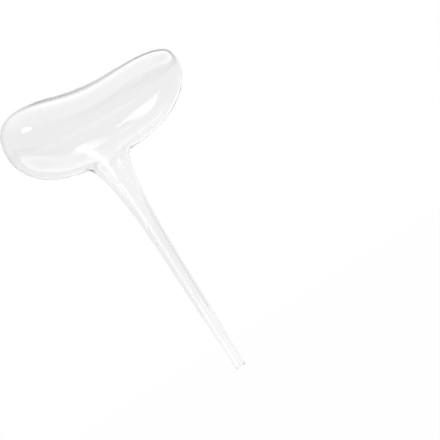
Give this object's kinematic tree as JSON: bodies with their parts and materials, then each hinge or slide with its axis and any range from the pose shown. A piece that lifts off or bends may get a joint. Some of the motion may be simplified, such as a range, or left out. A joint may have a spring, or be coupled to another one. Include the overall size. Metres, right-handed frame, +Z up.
{
  "type": "watering globe",
  "caption": "Clear blown-glass plant watering globe: a hollow bean-shaped water bulb on a long tapering stem, pushed into soil to let water out slowly.",
  "frame": {"origin": "middle of the open end of the stem, on the stem's axis, in the plane of the cut tip", "axes": "+Z runs up the stem to the bulb, X lies along the bulb's long axis with the slim lobe at +X, Y is the bulb's depth"},
  "size_m": [0.1305, 0.0648, 0.2217],
  "materials": {
    "bulb_glass": "clear blown glass, glossy",
    "stem_glass": "clear drawn glass tube, fire polished"
  },
  "bodies": {
    "root": {"bulb": "bulb_glass", "seal_ring": "stem_glass", "stem": "stem_glass", "tip_lip": "stem_glass"}
  },
  "joints": []
}
